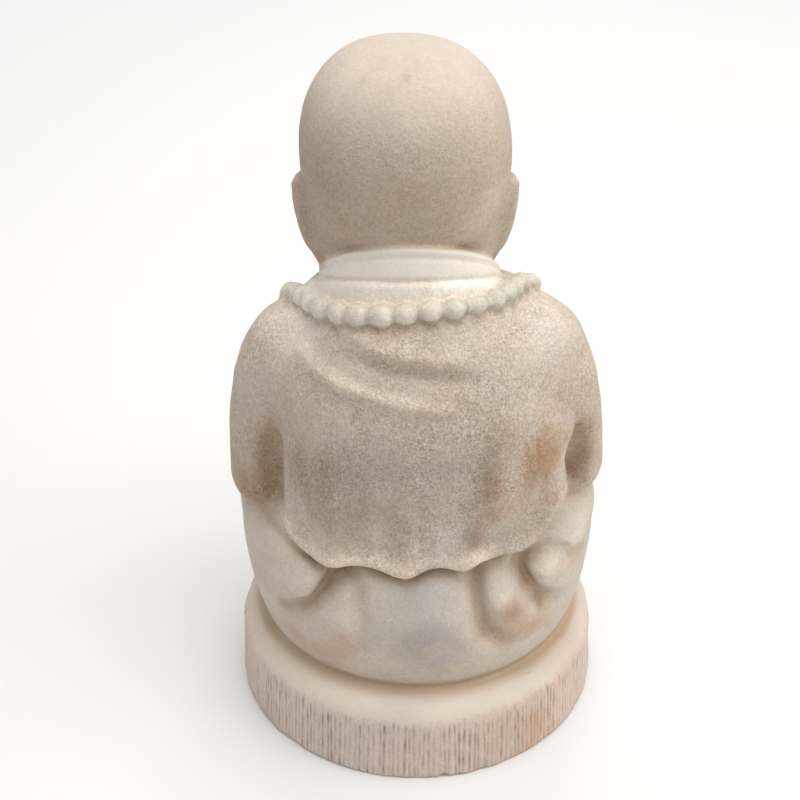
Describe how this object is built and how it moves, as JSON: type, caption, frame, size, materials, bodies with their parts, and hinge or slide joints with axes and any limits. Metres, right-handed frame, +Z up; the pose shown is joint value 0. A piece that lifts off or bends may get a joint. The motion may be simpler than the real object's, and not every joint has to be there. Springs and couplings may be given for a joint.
{
  "type": "garden statue",
  "caption": "Cast concrete child monk seated in meditation on a round plinth, with a bead necklace and a grooved plinth edge.",
  "frame": {"origin": "middle of the plinth's flat underside", "axes": "+Z up through the head, the figure faces -Y, +X is to the statue's left"},
  "size_m": [0.2635, 0.2598, 0.4909],
  "materials": {
    "child_monk_statue": "matte"
  },
  "bodies": {
    "root": {"child_monk_statue": "child_monk_statue"}
  },
  "joints": []
}
